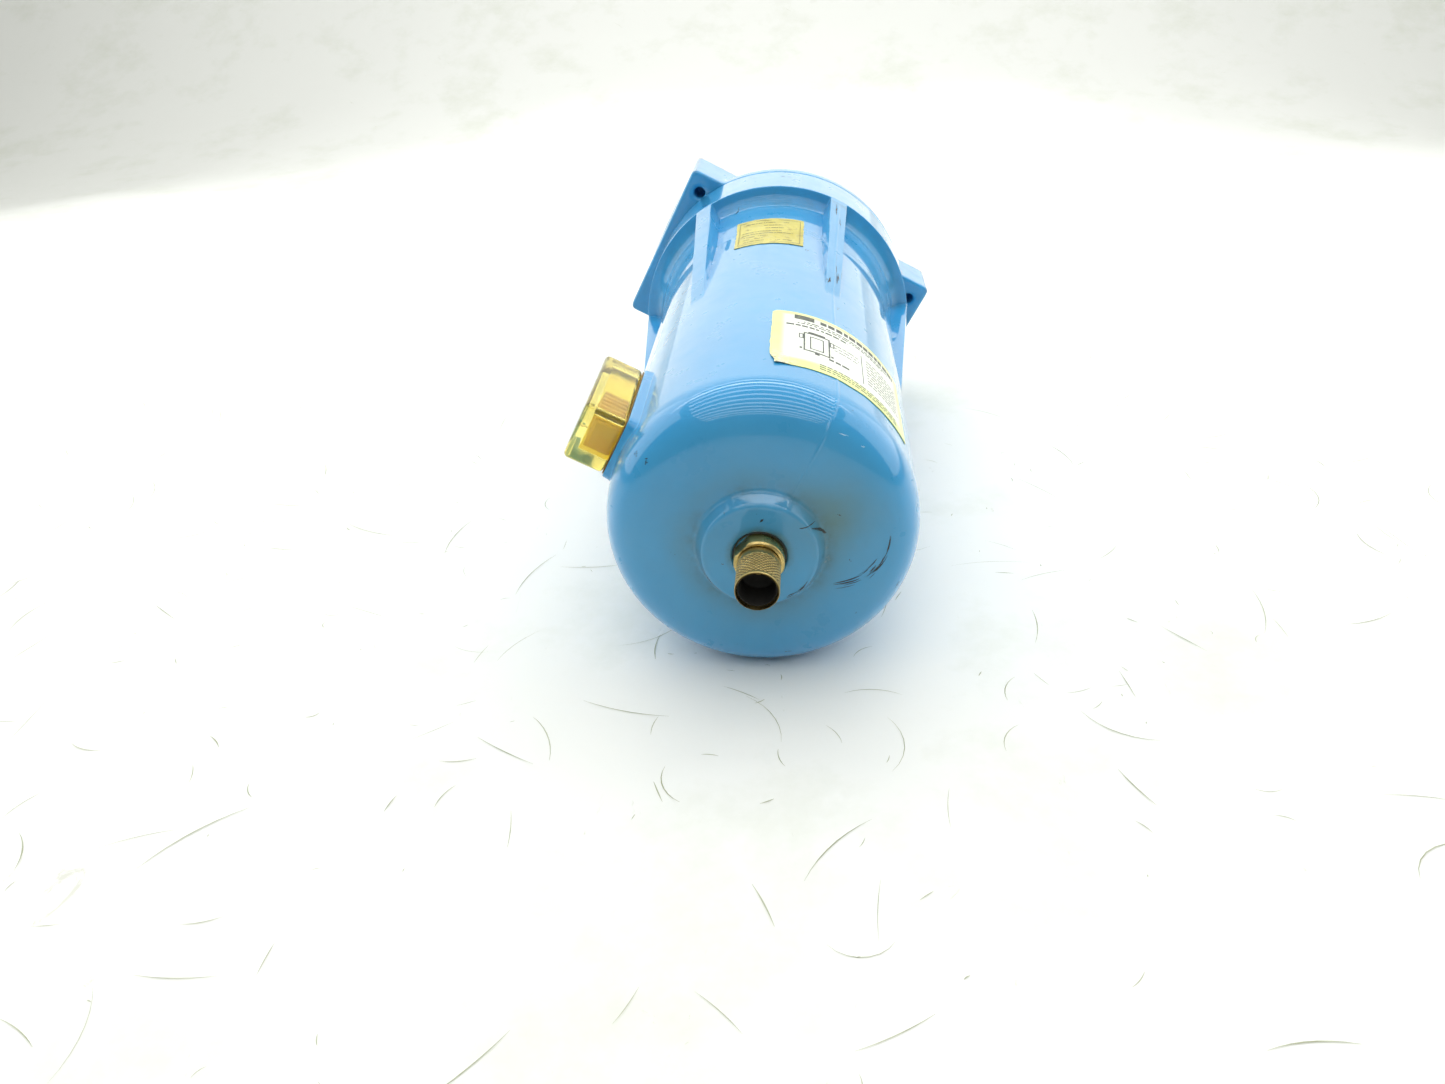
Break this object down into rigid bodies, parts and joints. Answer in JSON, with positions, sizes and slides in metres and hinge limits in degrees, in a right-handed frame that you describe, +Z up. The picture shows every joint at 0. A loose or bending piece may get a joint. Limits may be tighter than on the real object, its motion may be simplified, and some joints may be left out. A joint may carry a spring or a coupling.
{
  "type": "compressed air filter",
  "caption": "In-line compressed air filter: a ribbed cast bowl on a ported head, with a coalescing element, a float drain, a level sight and a differential pressure gauge.",
  "frame": {"origin": "middle of the footprint on the ground, with the filter lying on the bowl's end and one corner of the head", "axes": "+Y runs along the filter, from the drain to the head, 3.3 degrees below the filter's own axis; +Z is up; the inlet port points to -X and up, the outlet port to +X and down"},
  "size_m": [0.153, 0.3698, 0.1329],
  "materials": {
    "blue_enamel": "gloss enamel over a cast skin, scuffed at the corners",
    "amber_clear_plastic": "clear amber moulding",
    "clear_plastic": "clear, polished",
    "yellow_print_film": "printed film, worn and torn at one corner",
    "gold_foil": "gold foil, creased",
    "brass": "turned, aged",
    "stainless_steel": "satin",
    "black_rubber": "matte",
    "black_moulding": "satin",
    "orange_moulding": "satin",
    "white_dial": "matte",
    "red_pointer": "satin",
    "grey_moulding": "satin",
    "filter_media": "pleated glass fibre",
    "open_cell_foam": "open-cell foam"
  },
  "bodies": {
    "bowl": {"bowl": "blue_enamel", "rating_label": "yellow_print_film", "nameplate": "gold_foil", "sight_glass": "amber_clear_plastic", "sight_glass_gasket": "black_rubber", "drain_body": "brass", "drain_nut": "brass", "drain_gasket": "black_rubber", "drain_lever_pin": "stainless_steel"},
    "element": {"element_top_cap": "grey_moulding", "element_bottom_cap": "grey_moulding", "element_inner_core": "stainless_steel", "element_media": "filter_media", "element_outer_core": "stainless_steel", "element_foam_sleeve": "open_cell_foam", "spigot_seal_lower": "black_rubber", "spigot_seal_upper": "black_rubber"},
    "bowl_seal": {"bowl_seal": "black_rubber"},
    "head": {"head": "blue_enamel", "gauge_body": "black_moulding", "gauge_gasket": "black_rubber", "gauge_tap_seal": "black_rubber", "gauge_dial": "white_dial", "gauge_lens": "clear_plastic", "gauge_bezel": "stainless_steel", "gauge_screw_1": "stainless_steel", "gauge_screw_2": "stainless_steel", "gauge_screw_3": "stainless_steel", "gauge_screw_4": "stainless_steel", "gauge_spring": "stainless_steel"},
    "drain_float": {"drain_float": "open_cell_foam"},
    "drain_lever": {"drain_lever": "stainless_steel"},
    "drain_valve": {"drain_valve": "black_moulding"},
    "level_float": {"level_float": "orange_moulding"},
    "stem_seal": {"drain_stem_seal": "black_rubber"},
    "drain_stem": {"drain_stem": "brass"},
    "gauge_piston": {"gauge_piston": "black_moulding"},
    "gauge_pointer": {"gauge_pointer": "red_pointer"}
  },
  "joints": [
    {"name": "element_withdraw", "type": "slide", "parent": "bowl", "child": "element", "axis": [0, 0.9983, 0.0583], "range_m": [0, 0.19]},
    {"name": "head_thread_lift", "type": "slide", "parent": "element", "child": "bowl_seal", "axis": [0, 0.9983, 0.0583], "range_m": [0, 0.0121]},
    {"name": "head_turn", "type": "hinge", "parent": "bowl_seal", "child": "head", "pos_m": [0, -0.16413, 0.05131], "axis": [0, 0.9983, 0.0583], "range_deg": [0, 1080]},
    {"name": "drain_float_lift", "type": "slide", "parent": "bowl", "child": "drain_float", "axis": [0, 0.9983, 0.0583], "range_m": [0, 0.00505]},
    {"name": "drain_lever_tilt", "type": "hinge", "parent": "bowl", "child": "drain_lever", "pos_m": [0.00838, -0.10297, 0.0504], "axis": [-0.471, 0.0515, -0.8806], "range_deg": [0, 13.3]},
    {"name": "drain_valve_lift", "type": "slide", "parent": "bowl", "child": "drain_valve", "axis": [0, 0.9983, 0.0583], "range_m": [0, 0.00225]},
    {"name": "level_float_rise", "type": "slide", "parent": "bowl", "child": "level_float", "axis": [0, 0.9983, 0.0583], "range_m": [0, 0.018]},
    {"name": "stem_screw_out", "type": "slide", "parent": "bowl", "child": "stem_seal", "axis": [0, -0.9983, -0.0583], "range_m": [0, 0.0013]},
    {"name": "stem_turn", "type": "hinge", "parent": "stem_seal", "child": "drain_stem", "pos_m": [0, -0.16413, 0.05131], "axis": [0, 0.9983, 0.0583], "range_deg": [0, 360]},
    {"name": "gauge_piston_travel", "type": "slide", "parent": "head", "child": "gauge_piston", "axis": [0, 0.9983, 0.0583], "range_m": [0, 0.005], "deforming": ["gauge_spring"]},
    {"name": "gauge_pointer_turn", "type": "hinge", "parent": "head", "child": "gauge_pointer", "pos_m": [0, -0.16413, 0.05131], "axis": [0, 0.9983, 0.0583], "range_deg": [0, 91]}
  ],
  "couplings": [
    {"joint": "head_thread_lift", "follows": "head_turn", "m_per_rad": 0.00063662},
    {"joint": "drain_float_lift", "follows": "drain_lever_tilt", "m_per_rad": 0.0215},
    {"joint": "drain_valve_lift", "follows": "drain_lever_tilt", "m_per_rad": 0.0095},
    {"joint": "stem_screw_out", "follows": "stem_turn", "m_per_rad": 0.00019894},
    {"joint": "gauge_pointer_turn", "follows": "gauge_piston_travel", "rad_per_m": 314.16}
  ]
}
